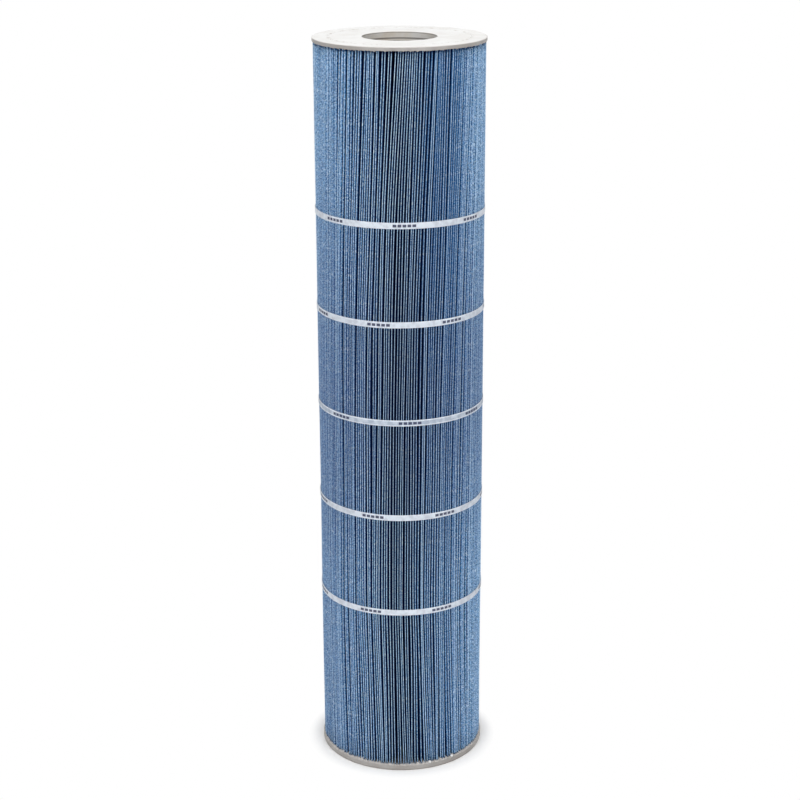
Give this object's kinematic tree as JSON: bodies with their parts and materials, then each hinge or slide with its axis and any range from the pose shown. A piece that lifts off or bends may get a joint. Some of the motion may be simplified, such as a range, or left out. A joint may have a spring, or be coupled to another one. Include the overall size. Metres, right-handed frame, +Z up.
{
  "type": "pleated filter cartridge",
  "caption": "Tall pleated filter cartridge with cast end caps open at both ends, blue folded media on a perforated core, and tapes round the pleats.",
  "frame": {"origin": "centre of the bottom cap's outer face, on the cartridge's axis", "axes": "+Z up along the cartridge's axis, towards the top cap; -Y is the side that the picture shows"},
  "size_m": [0.1778, 0.178, 0.785],
  "materials": {
    "end_cap": "cast urethane, satin, off-white",
    "core": "moulded plastic, satin, pale grey",
    "media": "nonwoven polyester, matt blue, mottled fibres",
    "seam": "hot melt strip, satin",
    "band": "woven tape, off-white"
  },
  "bodies": {
    "root": {"bottom_end_cap": "end_cap", "top_end_cap": "end_cap", "core_section_1": "core", "core_section_2": "core", "core_section_3": "core", "core_section_4": "core", "core_section_5": "core", "pleated_media": "media", "side_seam_strip": "seam", "retaining_band_1": "band", "retaining_band_2": "band", "retaining_band_3": "band", "retaining_band_4": "band", "retaining_band_5": "band"}
  },
  "joints": []
}
